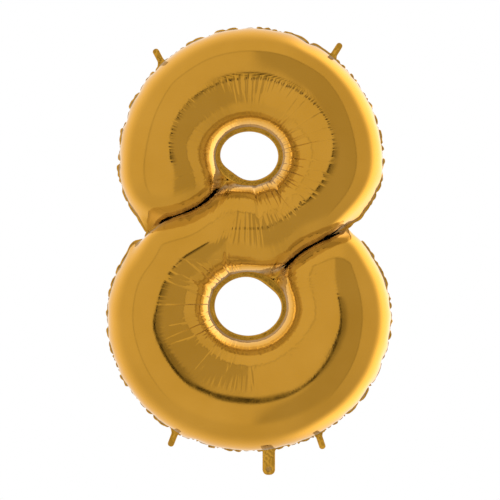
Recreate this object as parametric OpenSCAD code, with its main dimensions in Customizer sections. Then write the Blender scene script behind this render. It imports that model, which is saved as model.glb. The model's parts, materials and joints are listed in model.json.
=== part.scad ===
// Inflated foil number balloon, the digit 8.
// Two film webs are welded along the outline, round both holes and along two
// short waist seams. The seams leave one air tube that follows an S through
// both lobes: it starts above the left waist seam, goes over the upper lobe,
// crosses the middle, and goes round the lower lobe to the right waist seam.
// X is to the right, Z is up, and the front film faces -Y. All seams lie in
// the plane Y = 0. The origin is the middle of the balloon's box.

/* [Upper lobe] */
// Half width of the upper lobe, to the edge of its seam
upper_rx = 300; // [290:1:310]
// Height of the crown above the lobe's centre
upper_top = 307; // [295:1:320]
// How far the lobe's left side reaches below its centre
upper_low_left = 237; // [230:1:242]
// How far the lobe's right side reaches below its centre
upper_low_right = 212; // [206:1:218]
// Sideways offset of the lobe's centre
upper_shift = 4; // [0:1:6]

/* [Lower lobe] */
// Half width of the lower lobe, to the edge of its seam
lower_rx = 322; // [312:1:332]
// Reach of the lobe above its centre
lower_top = 277; // [270:1:282]
// Reach of the lobe below its centre
lower_bottom = 305; // [295:1:315]
// Height between the two lobe centres
lobe_gap = 342; // [336:1:348]

/* [Holes] */
// Half width of the upper hole
upper_hole_rx = 65; // [58:1:70]
// Half height of the upper hole
upper_hole_rz = 55; // [50:1:60]
// Height of the upper hole's centre above its lobe's centre
upper_hole_rise = 16; // [12:1:20]
// Half width of the lower hole
lower_hole_rx = 75; // [68:1:80]
// Half height of the lower hole
lower_hole_rz = 66; // [60:1:70]
// Height of the lower hole's centre above its lobe's centre
lower_hole_rise = 23; // [18:1:26]

/* [Film and seams] */
// Thickness of one film web
film_t = 0.6; // [0.4:0.1:1]
// Width of the outer weld
outer_weld = 6; // [4:0.5:7]
// Width of the weld round each hole
hole_weld = 11; // [8:0.5:13]
// Half depth of the inflated tube as a share of its width
tube_depth = 0.43; // [0.38:0.01:0.5]
// How much flatter the crossing in the middle is
crossing_flat = 0.06; // [0:0.01:0.1]

/* [Waist seams] */
// Distance of the left notch from the centre line, at the inside of the weld
notch_left = 224; // [222:1:226]
// Distance of the right notch from the centre line, at the inside of the weld
notch_right = 218; // [217:1:220]
// Place of the left waist seam's end on the upper hole, in degrees
left_seam_end = 228; // [220:1:236]
// Place of the right waist seam's end on the lower hole, in degrees
right_seam_end = 47; // [40:1:55]
// How far each waist seam drops away from its hole before it turns outwards
seam_bend = 44; // [30:1:50]

/* [Tabs] */
// Width of a tab
tab_w = 14; // [10:1:18]
// Length of a tab beyond its fold
tab_l = 25; // [18:1:35]
// Length of the fixed root between the weld and the fold
root_l = 6; // [4:1:8]
// Rounding of a tab's free corners
tab_r = 4; // [2:0.5:6]

/* [Filling neck] */
// Distance of the neck from the centre line
neck_x = 44; // [30:1:60]
// Width of the neck
neck_w = 28; // [26:1:32]
// Length of the neck beyond its fold
neck_l = 43; // [40:1:50]
// Radius of the filling port
port_r = 6.5; // [5:0.25:7]
// Width of a valve ply
ply_w = 21; // [18:1:22]
// Length of the valve that hangs inside the balloon
ply_inside = 140; // [60:5:180]

/* [Hidden] */
gold = [0.78, 0.57, 0.21];
gold_weld = [0.66, 0.46, 0.15];
clear_film = [0.86, 0.88, 0.88];

// Film, weld and fold sizes
weld_t = 2 * film_t;        // two webs welded together
fold_gap = 0.3;             // clear space at each fold, so the hinge turns freely
pocket = 0.6;               // space between the neck's two films, which holds the valve
neck_t = weld_t + pocket;   // thickness of the neck
neck_root = 9;              // fixed length of the neck above its fold
neck_fillet = 8;            // fillets between the neck and the outline
neck_end_r = 9;             // rounding of the neck's end corners
neck_weld = 3.5;            // side and end welds of the neck
port_edge = 13;             // from the neck's end to the port's centre
ply_t = 0.25;               // thickness of one valve ply
ply_slip = 0.02;            // from a ply to the middle plane

// Heights. The neck hangs lowest, and the crown is highest.
neck_drop = lower_bottom * sqrt(1 - pow(neck_x / lower_rx, 2)) + neck_root + neck_l;
lower_z = (neck_drop - lobe_gap - upper_top) / 2;
upper_z = lower_z + lobe_gap;
fold_z = lower_z - neck_drop + neck_l;
port_z = fold_z - neck_l + port_edge;
valve_way_top = fold_z + neck_root + 4 * outer_weld;
upper_hole = [0, upper_z + upper_hole_rise];
lower_hole = [-2, lower_z + lower_hole_rise];

// Stations along the tube and steps across it
lobe_steps = 26;            // stations along each lobe, past the closed end
end_steps = 5;              // stations over which a closed end rounds up
half_crossing = 7;          // stations along half of the crossing
across = 8;                 // facets across one film
outline_steps = 64;         // chords along each lobe's outline
end_share = 0.13;           // share of a lobe's length taken by the closed end
end_turn = 35;              // where the sections leave each hole for the crossing, in degrees

// Points on the outlines, moved in by an inset. Angles run anticlockwise from +X.
function upper_low(a) = cos(a) < 0 ? upper_low_left : upper_low_right;
function upper_edge(a, inset) =
    [upper_shift + (upper_rx - inset) * cos(a),
     upper_z + ((sin(a) > 0 ? upper_top : upper_low(a)) - inset) * sin(a)];
function lower_edge(a, inset) =
    [(lower_rx - inset) * cos(a),
     lower_z + ((sin(a) > 0 ? lower_top : lower_bottom) - inset) * sin(a)];
function upper_rim(a, grow) =
    upper_hole + [(upper_hole_rx + grow) * cos(a), (upper_hole_rz + grow) * sin(a)];
function lower_rim(a, grow) =
    lower_hole + [(lower_hole_rx + grow) * cos(a), (lower_hole_rz + grow) * sin(a)];

// Angles at which an outline passes a notch, for an inset
function upper_left_angle(x, inset) = 180 + acos((x + upper_shift) / (upper_rx - inset));
function upper_right_angle(x, inset) = -acos((x - upper_shift) / (upper_rx - inset));
function lower_left_angle(x, inset) = 180 - acos(x / (lower_rx - inset));
function lower_right_angle(x, inset) = 360 + acos(x / (lower_rx - inset));

// The four inner corners of the notches, and the waist seams' ends on the holes
a_up_l = upper_left_angle(notch_left, outer_weld);
a_up_r = upper_right_angle(notch_right, outer_weld);
a_lo_l = lower_left_angle(notch_left, outer_weld);
a_lo_r = lower_right_angle(notch_right, outer_weld);
seam_half = 2;              // half of a waist seam's width on the hole's rim, in degrees

function mix(a, b, f) = a * (1 - f) + b * f;
function curve(a, k, b, f) = a * pow(1 - f, 2) + k * 2 * f * (1 - f) + b * pow(f, 2);

left_pull = upper_rim(left_seam_end, hole_weld) - [9, seam_bend];
right_pull = lower_rim(right_seam_end, hole_weld) + [9, seam_bend];
seam_side = 2.5;            // half width of a waist seam

// The side of the left seam that faces the crossing, and the same of the right seam
function left_seam_low(f) =
    curve(lower_edge(a_lo_l, outer_weld), left_pull - [0, seam_side],
          upper_rim(left_seam_end + seam_half, hole_weld), f);
function right_seam_high(f) =
    curve(upper_edge(a_up_r, outer_weld), right_pull + [0, seam_side],
          lower_rim(right_seam_end + seam_half, hole_weld), f);

// How far along a lobe each station is. The first stations round up the closed end.
lobe_share = concat(
    [for (k = [0 : end_steps]) end_share * (1 - cos(90 * k / end_steps))],
    [for (k = [1 : lobe_steps]) mix(end_share, 1, k / lobe_steps)]);
lobe_last = len(lobe_share) - 1;
function end_rise(k) = k < end_steps ? sin(90 * k / end_steps) : 1;
function end_back(k) = k < end_steps ? cos(90 * k / end_steps) : 0;

// A station holds: its point on the first edge, its point on the second edge, how far its
// middle bends sideways, its half depth, and the inner skin's setback at a closed end
function station(a, b, bend, rise, flat, back) =
    [a, b, bend, (tube_depth - flat) * norm(a - b) * rise, back];
function seam_bow(a, b, pull) = (pull - (a + b) / 2) * 2;

upper_stations = [for (k = [0 : lobe_last])
    let (f = lobe_share[k],
         a = upper_edge(mix(a_up_l, a_up_r, f), outer_weld),
         b = upper_rim(mix(left_seam_end - seam_half, -end_turn, f), hole_weld),
         bow = seam_bow(a, b, left_pull + [0, seam_side]) * end_back(k))
    station(a, b, bow, end_rise(k), 0, [-0.5, 0.85] * end_back(k))];

crossing_stations = [for (k = [1 : 2 * half_crossing - 1])
    let (f = k / half_crossing,
         a = f <= 1 ? right_seam_high(f)
                    : lower_rim(mix(right_seam_end + seam_half, 180 - end_turn, f - 1), hole_weld),
         b = f <= 1 ? upper_rim(mix(360 - end_turn, left_seam_end + seam_half, f), hole_weld)
                    : left_seam_low(2 - f))
    station(a, b, [0, 0], 1, crossing_flat * sin(90 * f), [0, 0])];

lower_stations = [for (j = [lobe_last : -1 : 0])
    let (f = lobe_share[j],
         a = lower_rim(mix(right_seam_end - seam_half + 360, 180 - end_turn, f), hole_weld),
         b = lower_edge(mix(a_lo_r, a_lo_l, f), outer_weld),
         bow = seam_bow(a, b, right_pull - [0, seam_side]) * end_back(j))
    station(a, b, bow, end_rise(j), 0, [0.5, -0.85] * end_back(j))];

stations = concat(upper_stations, crossing_stations, lower_stations);
last = len(stations) - 1;
row = across + 1;

// One point of the film. inset 0 is its outside, and inset film_t its inside.
function film_point(s, i, inset) =
    let (turn = 180 * i / across,
         width = norm(s[0] - s[1]),
         f = 0.5 - 0.5 * cos(turn) * (1 - 2 * inset / width),
         flat = mix(s[0], s[1], f) + s[2] * f * (1 - f) + s[4] * inset,
         depth = s[3] * (1 - 2 * inset / width) * sin(turn))
    [flat[0], -depth, flat[1]];

function quad(a, b, c, d) = [[c, b, a], [d, c, a]];
function join(lists) = [for (l = lists) for (x = l) x];

film_points = concat(
    [for (s = stations) for (i = [0 : across]) film_point(s, i, 0)],
    [for (s = stations) for (i = [0 : across]) film_point(s, i, film_t)]);
inner = len(stations) * row;
film_faces = join(concat(
    [for (k = [0 : last - 1]) for (i = [0 : across - 1])
        let (p = k * row + i) quad(p, p + row, p + row + 1, p + 1)],
    [for (k = [0 : last - 1]) for (i = [0 : across - 1])
        let (p = inner + k * row + i) quad(p, p + 1, p + row + 1, p + row)],
    [for (k = [0 : last - 1])
        let (p = k * row) quad(p + row, p, p + inner, p + inner + row)],
    [for (k = [0 : last - 1])
        let (p = k * row + across) quad(p, p + row, p + inner + row, p + inner)],
    [for (i = [0 : across - 1]) quad(i, i + 1, i + 1 + inner, i + inner)],
    [for (i = [0 : across - 1])
        let (p = last * row + i) quad(p + 1, p, p + inner, p + inner + 1)]));

// One inflated film
module film() {
    polyhedron(film_points, film_faces, convexity = 8);
}

// The space between the films that the valve passes through
module valve_space(low, high) {
    translate([neck_x - ply_w / 2 - 0.5, -pocket / 2, low])
        cube([ply_w + 1, pocket, high - low]);
}

module front_panel() { color(gold) film(); }
module back_panel() { color(gold) mirror([0, 1, 0]) film(); }

// Turns a flat outline, drawn in X and Z, into a plate of thickness t about Y = 0
module plate(t) {
    rotate([90, 0, 0]) linear_extrude(t, center = true) children();
}

// The outline of the whole digit, from the left notch over the crown and round
outline = concat(
    [for (k = [0 : outline_steps])
        upper_edge(mix(upper_left_angle(notch_left + outer_weld, 0),
                       upper_right_angle(notch_right + outer_weld, 0), k / outline_steps), 0)],
    [for (k = [1 : outline_steps - 1])
        lower_edge(mix(lower_right_angle(notch_right + outer_weld, 0) - 360,
                       lower_left_angle(notch_left + outer_weld, 0) - 360, k / outline_steps), 0)]);

// The line where the films leave the outer weld
outer_seam = concat(
    [for (s = upper_stations) s[0]],
    [for (k = [len(lower_stations) - 1 : -1 : 0]) lower_stations[k][1]]);
upper_seam = concat(
    [for (s = upper_stations) s[1]],
    [for (k = [0 : half_crossing - 1]) crossing_stations[k][1]]);
lower_seam = concat(
    [for (k = [half_crossing - 1 : len(crossing_stations) - 1]) crossing_stations[k][0]],
    [for (s = lower_stations) s[0]]);

// Where each tab leaves the outline, and the direction that it points in
top_left = [upper_edge(132, 0), 118];
top_right = [upper_edge(52, 0), 58];
bottom_left = [lower_edge(239, 0), 249];
bottom_right = [lower_edge(299, 0), 288];
TABS = [top_left, top_right, bottom_left, bottom_right];

// The fixed root of a tab: a flare that starts inside the weld and ends at the fold
module tab_root(place) {
    reach = root_l - film_t - fold_gap;
    translate(place[0]) rotate(place[1])
        polygon([[-3, -tab_w / 2 - 6], [1, -tab_w / 2 - 3], [reach, -tab_w / 2],
                 [reach, tab_w / 2], [1, tab_w / 2 + 3], [-3, tab_w / 2 + 6]]);
}

module neck_outline(w, l, r) {
    translate([-w / 2, -l + r]) square([w, l - r]);
    translate([-w / 2 + r, -l]) square([w - 2 * r, r]);
    for (x = [-1, 1]) translate([x * (w / 2 - r), -l + r]) circle(r, $fn = 64);
}

// The fixed top of the neck, with a fillet on each side
module neck_shoulder() {
    top = fold_z + neck_root + outer_weld / 2;
    foot = fold_z + neck_t / 2 + fold_gap;
    translate([neck_x - neck_w / 2, foot]) square([neck_w, top - foot]);
    for (x = [-1, 1])
        translate([neck_x + x * (neck_w / 2 + neck_fillet / 2), top - neck_fillet / 2])
            difference() {
                square(neck_fillet, center = true);
                translate([x * neck_fillet / 2, -neck_fillet / 2]) circle(neck_fillet, $fn = 64);
            }
}

module outer_seal() {
    color(gold_weld) difference() {
        union() {
            plate(weld_t) {
                difference() {
                    polygon(outline);
                    polygon(outer_seam);
                }
                for (t = TABS) tab_root(t);
            }
            plate(neck_t) neck_shoulder();
        }
        valve_space(fold_z, valve_way_top);
    }
}

module hole_weld_ring(seam, centre, rx, rz) {
    plate(weld_t) difference() {
        polygon(seam);
        polygon([for (a = [0 : 5 : 355]) centre + [rx * cos(a), rz * sin(a)]]);
    }
}

module upper_hole_seal() {
    color(gold_weld) hole_weld_ring(upper_seam, upper_hole, upper_hole_rx, upper_hole_rz);
}

module lower_hole_seal() {
    color(gold_weld) hole_weld_ring(lower_seam, lower_hole, lower_hole_rx, lower_hole_rz);
}

function flat_of(p) = [p[0], p[2]];

// A waist seam fills the strip between a closed end and the side of the crossing
module left_waist_seal() {
    side = [for (k = [half_crossing - 1 : len(crossing_stations) - 1]) crossing_stations[k][1]];
    closed = [for (i = [0 : across]) flat_of(film_point(stations[0], i, 0))];
    color(gold_weld) plate(weld_t) polygon(concat(closed, side, [lower_stations[0][1]]));
}

module right_waist_seal() {
    side = [for (k = [0 : half_crossing - 1]) crossing_stations[k][0]];
    closed = [for (i = [0 : across]) flat_of(film_point(stations[last], i, 0))];
    color(gold_weld) plate(weld_t) polygon(concat(closed, [upper_stations[lobe_last][0]], side));
}

// A tab is two welded films. Its rounded root lies on the fold line.
module tab_blade(place) {
    translate([place[0][0], 0, place[0][1]]) rotate([0, -place[1], 0]) translate([root_l, 0, 0]) {
        cylinder(tab_w, r = film_t, center = true, $fn = 32);
        plate(weld_t) {
            translate([0, -tab_w / 2]) square([tab_l - tab_r, tab_w]);
            translate([0, -tab_w / 2 + tab_r]) square([tab_l, tab_w - 2 * tab_r]);
            for (z = [-1, 1])
                translate([tab_l - tab_r, z * (tab_w / 2 - tab_r)]) circle(tab_r, $fn = 48);
        }
    }
}

module top_left_tab() { color(gold) tab_blade(top_left); }
module top_right_tab() { color(gold) tab_blade(top_right); }
module bottom_left_tab() { color(gold) tab_blade(bottom_left); }
module bottom_right_tab() { color(gold) tab_blade(bottom_right); }

// The neck's two films meet at their side and end welds and leave a pocket between
module neck_films() {
    difference() {
        union() {
            plate(neck_t) translate([neck_x, fold_z]) neck_outline(neck_w, neck_l, neck_end_r);
            translate([neck_x, 0, fold_z]) rotate([0, 90, 0])
                cylinder(neck_w, r = neck_t / 2, center = true, $fn = 32);
        }
        valve_space(fold_z - neck_l + neck_weld, fold_z + neck_t);
    }
}

module neck_front_film() {
    color(gold) difference() {
        neck_films();
        translate([neck_x - neck_w, 0, fold_z - 2 * neck_l]) cube([2 * neck_w, neck_t, 3 * neck_l]);
        translate([neck_x, 0, port_z]) rotate([90, 0, 0])
            cylinder(4 * neck_t, r = port_r, center = true, $fn = 64);
    }
}

module neck_back_film() {
    color(gold) difference() {
        neck_films();
        translate([neck_x - neck_w, -neck_t, fold_z - 2 * neck_l])
            cube([2 * neck_w, neck_t, 3 * neck_l]);
    }
}

// The valve is two plies of clear film. The front one stops above the port, so gas goes
// in between them, and the back one runs on behind it.
module ply(low, y) {
    high = fold_z + neck_root + ply_inside;
    color(clear_film) translate([neck_x - ply_w / 2, y, low]) cube([ply_w, ply_t, high - low]);
}

module valve_front_ply() { ply(port_z + port_r + 1, -ply_slip - ply_t); }
module valve_back_ply() { ply(fold_z - neck_l + neck_weld + 1, ply_slip); }

front_panel();
back_panel();
outer_seal();
upper_hole_seal();
lower_hole_seal();
left_waist_seal();
right_waist_seal();
top_left_tab();
top_right_tab();
bottom_left_tab();
bottom_right_tab();
neck_front_film();
neck_back_film();
valve_front_ply();
valve_back_ply();
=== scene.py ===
"""A foil number balloon, the digit 8, with its mirror film, welds, tabs, neck and valve.

The film is cut flat, welded and inflated by Blender's cloth simulation. The result is then
fitted smoothly to the seams of the CAD model, and the fine creases are added to its mesh.
X is across the digit, Z is up, and the front of the balloon faces -Y. Units are metres.
"""
import json
import math

import bpy
import numpy as np
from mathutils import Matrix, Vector, noise
from mathutils.geometry import delaunay_2d_cdt
from mathutils.kdtree import KDTree


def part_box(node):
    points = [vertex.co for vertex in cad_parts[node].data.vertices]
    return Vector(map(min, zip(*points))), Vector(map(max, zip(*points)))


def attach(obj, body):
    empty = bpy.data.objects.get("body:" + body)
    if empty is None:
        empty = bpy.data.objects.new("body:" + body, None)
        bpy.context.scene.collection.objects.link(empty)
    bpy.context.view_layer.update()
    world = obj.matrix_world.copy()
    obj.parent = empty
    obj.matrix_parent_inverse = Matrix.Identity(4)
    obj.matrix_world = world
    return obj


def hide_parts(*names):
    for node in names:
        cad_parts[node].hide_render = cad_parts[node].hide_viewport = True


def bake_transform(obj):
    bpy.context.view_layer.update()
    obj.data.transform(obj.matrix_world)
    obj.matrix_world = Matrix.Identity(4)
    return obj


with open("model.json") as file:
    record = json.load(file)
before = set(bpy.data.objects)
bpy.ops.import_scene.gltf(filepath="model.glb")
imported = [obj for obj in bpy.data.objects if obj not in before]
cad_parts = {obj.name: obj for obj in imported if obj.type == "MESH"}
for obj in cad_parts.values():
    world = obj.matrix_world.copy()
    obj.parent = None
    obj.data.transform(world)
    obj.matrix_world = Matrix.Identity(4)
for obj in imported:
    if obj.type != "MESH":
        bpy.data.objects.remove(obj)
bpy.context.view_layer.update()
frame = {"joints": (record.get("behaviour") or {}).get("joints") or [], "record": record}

JOINTS = {joint["name"]: joint for joint in frame["joints"]}
MM = 0.001

# -------- sizes from the frame


def flat_box(node):
    """The middle and half sizes of a node in the XZ plane"""
    low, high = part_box(node)
    middle = np.array([(low.x + high.x) / 2, (low.z + high.z) / 2])
    return middle, np.array([(high.x - low.x) / 2, (high.z - low.z) / 2])


UPPER_RIM, UPPER_RIM_SIZE = flat_box("upper_hole_seal")
LOWER_RIM, LOWER_RIM_SIZE = flat_box("lower_hole_seal")
SEAM_MIDDLE, SEAM_SIZE = flat_box("front_panel")
HALF_DEPTH = -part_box("front_panel")[0].y

# Widths of the welds: round a hole, what is added to that where a waist seam ends, outside
HOLE_WELD = 11 * MM
SEAM_END_WELD = 8 * MM
EDGE_WELD = 4 * MM

# -------- the lines of the digit


class Oval:
    """Four quarter ellipses round a centre, with one half width"""

    def __init__(self, centre, width, top_left, top_right, low_left, low_right):
        self.centre = np.array(centre)
        self.width = width
        self.heights = (top_right, top_left, low_left, low_right)

    def at(self, degrees):
        turn = np.radians(degrees)
        quarter = (np.floor(np.asarray(degrees) % 360 / 90)).astype(int)
        height = np.array(self.heights)[quarter]
        return self.centre + np.stack([self.width * np.cos(turn), height * np.sin(turn)], -1)

    def angle_of(self, point, low, high):
        """The angle between low and high at which the outline passes closest to a point"""
        degrees = np.linspace(low, high, 1801)
        away = np.linalg.norm(self.at(degrees) - point, axis=1)
        return degrees[np.argmin(away)]


def evenly(points, count):
    """The same line with count + 1 evenly spaced points"""
    run = np.concatenate([[0], np.cumsum(np.linalg.norm(np.diff(points, axis=0), axis=1))])
    stops = np.linspace(0, run[-1], count + 1)
    return np.stack([np.interp(stops, run, points[:, k]) for k in range(points.shape[1])], 1)


def length_of(points):
    """The length of a line through points"""
    return np.linalg.norm(np.diff(points, axis=0), axis=1).sum()


def bow(start, pull, end):
    """A curve from start to end that leans towards pull"""
    f = np.linspace(0, 1, 101)[:, None]
    return start * (1 - f) ** 2 + pull * 2 * f * (1 - f) + end * f ** 2


def digit_lines(upper, lower, upper_hole, lower_hole, left_notch, right_notch, bend):
    """The six lines on which the two films are welded together"""
    left, right = np.array(left_notch), np.array(right_notch)
    over = np.linspace(upper.angle_of(left, 180, 270), upper.angle_of(right, -90, 0), 721)
    under = np.linspace(lower.angle_of(right, 360, 450), lower.angle_of(left, 90, 180), 721)
    upper_line = upper.at(over)
    lower_line = lower.at(under)
    upper_line[0] = lower_line[-1] = left
    upper_line[-1] = lower_line[0] = right
    upper_rim = upper_hole.at(np.linspace(LEFT_SEAM_END, LEFT_SEAM_END - 360, 361))
    lower_rim = lower_hole.at(np.linspace(RIGHT_SEAM_END, RIGHT_SEAM_END + 360, 361))
    lean = np.array([0.2 * bend, bend])
    return {
        "upper": upper_line,
        "lower": lower_line,
        "upper_rim": upper_rim,
        "lower_rim": lower_rim,
        "left_seam": bow(left, upper_rim[0] - lean, upper_rim[0]),
        "right_seam": bow(right, lower_rim[0] + lean, lower_rim[0]),
    }


# Where the waist seams meet the holes, in degrees
LEFT_SEAM_END = 228
RIGHT_SEAM_END = 47

# The seams of the inflated balloon, as the CAD model has them. The outline's two ovals have
# their middles a little below the holes', and the waist seams start at the notches.
UPPER_MIDDLE = UPPER_RIM - [-4 * MM, 16 * MM]
LOWER_MIDDLE = LOWER_RIM - [-2 * MM, 23 * MM]
UPPER_HALF = 0.294
UPPER_LOW_LEFT, UPPER_LOW_RIGHT = 0.231, 0.206
LOWER_RISE = 0.271
LEFT_NOTCH, RIGHT_NOTCH = (-0.224, 0.0466), (0.218, 0.0515)
SEAM_BEND = 0.044
CROWN = SEAM_MIDDLE[1] + SEAM_SIZE[1] - UPPER_MIDDLE[1]
FOOT = LOWER_MIDDLE[1] - SEAM_MIDDLE[1] + SEAM_SIZE[1]


def hole(centre, size):
    """The outline of a hole"""
    return Oval(centre, size[0], size[1], size[1], size[1], size[1])


def inflated_lines():
    """The seams on the full balloon"""
    return digit_lines(
        Oval(UPPER_MIDDLE, UPPER_HALF, CROWN, CROWN, UPPER_LOW_LEFT, UPPER_LOW_RIGHT),
        Oval(LOWER_MIDDLE, SEAM_SIZE[0], LOWER_RISE, LOWER_RISE, FOOT, FOOT),
        hole(UPPER_RIM, UPPER_RIM_SIZE),
        hole(LOWER_RIM, LOWER_RIM_SIZE),
        LEFT_NOTCH, RIGHT_NOTCH, SEAM_BEND)


# The flat cut: where the holes are, and from each hole the middle of its oval and its notch
FLAT_UPPER_HOLE, FLAT_LOWER_HOLE = np.array([-0.020, 0.215]), np.array([0.020, -0.2155])
FLAT_UPPER_MIDDLE = FLAT_UPPER_HOLE + [-0.002, -0.018]
FLAT_LOWER_MIDDLE = FLAT_LOWER_HOLE + [0.0175, -0.026]
FLAT_LEFT_NOTCH = FLAT_UPPER_HOLE + [-0.277, -0.192]
FLAT_RIGHT_NOTCH = FLAT_LOWER_HOLE + [0.252, 0.205]
FLAT_UPPER_HALF, FLAT_LOWER_HALF = 0.367, 0.3915
FLAT_SEAM_BEND = 0.058


def flat_lines():
    """The digit as it is cut from flat film: the tubes lose about a fifth of their width
    when they fill, so it is wider, and the crossing twists, so the holes start apart"""
    return digit_lines(
        Oval(FLAT_UPPER_MIDDLE, FLAT_UPPER_HALF, 0.353, 0.353, 0.285, 0.288),
        Oval(FLAT_LOWER_MIDDLE, FLAT_LOWER_HALF, 0.362, 0.322, 0.362, 0.362),
        hole(FLAT_UPPER_HOLE, UPPER_RIM_SIZE),
        hole(FLAT_LOWER_HOLE, LOWER_RIM_SIZE),
        FLAT_LEFT_NOTCH, FLAT_RIGHT_NOTCH, FLAT_SEAM_BEND)


# -------- filling outlines with triangles


def inside(points, outline):
    """Which points lie inside a closed outline"""
    x, y = points[:, 0], points[:, 1]
    result = np.zeros(len(points), bool)
    for (x0, y0), (x1, y1) in zip(np.roll(outline, 1, axis=0), outline):
        if y0 == y1:
            continue
        crosses = (y0 > y) != (y1 > y)
        result ^= crosses & (x < (x1 - x0) * (y - y0) / (y1 - y0) + x0)
    return result


# Shares of the spacing: how far points stray, and how close they come to an outline or line
UNEVEN = 0.2
BORDER_GAP = 0.62


def fill(outline, holes, lines, spacing, seed):
    """Triangles of about one size inside an outline, with its holes open. lines are lists of
    points that the triangles follow. All are numbered from the first: outline, holes, lines."""
    chains = [outline] + list(holes) + list(lines)
    border, edges = [], []
    for number, chain in enumerate(chains):
        start = len(border)
        border.extend(map(tuple, chain))
        edges += [(start + k, start + k + 1) for k in range(len(chain) - 1)]
        if number <= len(holes):
            edges.append((start + len(chain) - 1, start))
    low, high = outline.min(0), outline.max(0)
    across = np.arange(low[0], high[0], spacing)
    up = np.arange(low[1], high[1], spacing * math.sqrt(3) / 2)
    x, z = np.meshgrid(across, up)
    x[1::2] += spacing / 2
    grid = np.stack([x.ravel(), z.ravel()], 1)
    grid += np.random.default_rng(seed).uniform(-UNEVEN, UNEVEN, grid.shape) * spacing

    def is_film(points):
        kept = inside(points, outline)
        for loop in holes:
            kept &= ~inside(points, loop)
        return kept

    near = KDTree(len(border))
    for k, point in enumerate(border):
        near.insert((point[0], point[1], 0), k)
    near.balance()
    grid = [p for p in grid[is_film(grid)] if near.find((p[0], p[1], 0))[2] > BORDER_GAP * spacing]
    corners = [Vector(p) for p in border] + [Vector(p) for p in grid]
    found = delaunay_2d_cdt(corners, edges, [], 0, 1e-6)
    points = np.array([tuple(v) for v in found[0]])
    faces = np.array([f for f in found[2] if len(f) == 3])
    faces = faces[is_film(points[faces].mean(1))]
    a, b, c = (points[faces[:, k]] for k in range(3))
    turned = np.cross(b - a, c - a) < 0
    faces[turned] = faces[turned][:, ::-1]
    # Number the points as they were given. Points that met share one number.
    where = np.full(len(border), -1)
    for new, given in enumerate(found[3]):
        for old in given:
            if old < len(border):
                where[old] = new
    spans, start = [], 0
    for chain in chains:
        spans.append(where[start:start + len(chain)])
        start += len(chain)
    return points, faces, spans


# -------- inflating the film

FILM_SPACING = 8 * MM
INFLATE_FRAMES = 60


def chain_of(line, spacing):
    """The same line with evenly spaced points, about so far apart"""
    return evenly(line, max(2, round(length_of(line) / spacing)))


def cut_film():
    """The flat film, its triangles and, for each weld line, the numbers of its points"""
    lines = {name: chain_of(line, FILM_SPACING) for name, line in flat_lines().items()}
    outline = np.concatenate([lines["upper"][:-1], lines["lower"][:-1]])
    holes = [lines["upper_rim"][:-1], lines["lower_rim"][:-1]]
    seams = [lines["left_seam"], lines["right_seam"]]
    points, faces, spans = fill(outline, holes, seams, FILM_SPACING, seed=7)
    turn = len(lines["upper"]) - 1
    edge = spans[0]
    chains = {
        "upper": edge[:turn + 1],
        "lower": np.append(edge[turn:], edge[0]),
        "upper_rim": np.append(spans[1], spans[1][0]),
        "lower_rim": np.append(spans[2], spans[2][0]),
        "left_seam": spans[3],
        "right_seam": spans[4],
    }
    return points, faces, chains


def inflate(flat, faces, welded):
    """The front and back films, welded where told and filled with gas. Returns both films'
    points, the front film's first, each numbered as the flat film is."""
    count = len(flat)
    twin = np.arange(count)
    twin[~welded] = count + np.arange((~welded).sum())
    start = np.zeros((count + (~welded).sum(), 3))
    start[:count, [0, 2]] = flat
    start[twin, 0], start[twin, 2] = flat[:, 0], flat[:, 1]
    lift = 2 * MM * ~welded
    start[:count, 1] = -lift
    start[twin, 1] = np.where(welded, 0, lift)
    mesh = bpy.data.meshes.new("film")
    mesh.from_pydata(start.tolist(), [], np.concatenate([faces, twin[faces][:, ::-1]]).tolist())
    film = bpy.data.objects.new("film", mesh)
    bpy.context.scene.collection.objects.link(film)
    cloth = film.modifiers.new("gas", "CLOTH")
    cloth.point_cache.frame_start = 1
    cloth.point_cache.frame_end = INFLATE_FRAMES
    cloth.collision_settings.use_collision = False
    cloth.collision_settings.use_self_collision = False
    film_stuff = cloth.settings
    film_stuff.quality = 6
    film_stuff.mass = 0.05
    film_stuff.air_damping = 8
    film_stuff.tension_stiffness = 300
    film_stuff.compression_stiffness = 2
    film_stuff.shear_stiffness = 20
    film_stuff.bending_stiffness = 0.02
    film_stuff.bending_damping = 0.5
    film_stuff.use_pressure = True
    film_stuff.uniform_pressure_force = 60
    film_stuff.effector_weights.gravity = 0
    scene = bpy.context.scene
    scene.frame_start, scene.frame_end = 1, INFLATE_FRAMES
    for step in range(1, INFLATE_FRAMES + 1):
        scene.frame_set(step)
    solved = film.evaluated_get(bpy.context.evaluated_depsgraph_get()).data
    spots = np.empty(len(solved.vertices) * 3)
    solved.vertices.foreach_get("co", spots)
    spots = spots.reshape(-1, 3)
    bpy.data.objects.remove(film)
    scene.frame_set(1)
    return spots[:count], spots[twin]


# -------- fitting it to the CAD seams

# The part of the outer seam's own gathers that is kept, the points on both sides over which
# they are evened out, and the length of a chain that has gathers
GATHERING = 0.6
CALM_REACH = 4
LONG_CHAIN = 60

# A tube's half width, flat and full, how much of a round section it gets, how much of the
# CAD depth it fills, and how much closer the walls of a waist seam stand
FLAT_HALF = 0.152
TUBE_HALF = 0.111
ROUNDNESS = 0.88
FULLNESS = 0.985
WAIST_PINCH = 0.84
SLIDE_ROUNDS = 12


def running_mean(values, reach, closed):
    """Each value's mean over reach neighbours on both sides"""
    mode = "wrap" if closed else "edge"
    wide = np.pad(values, ((reach, reach), (0, 0)), mode=mode)
    kernel = np.hanning(2 * reach + 3)[1:-1]
    kernel /= kernel.sum()
    return np.stack([np.convolve(wide[:, k], kernel, "valid") for k in range(3)], 1)


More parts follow.
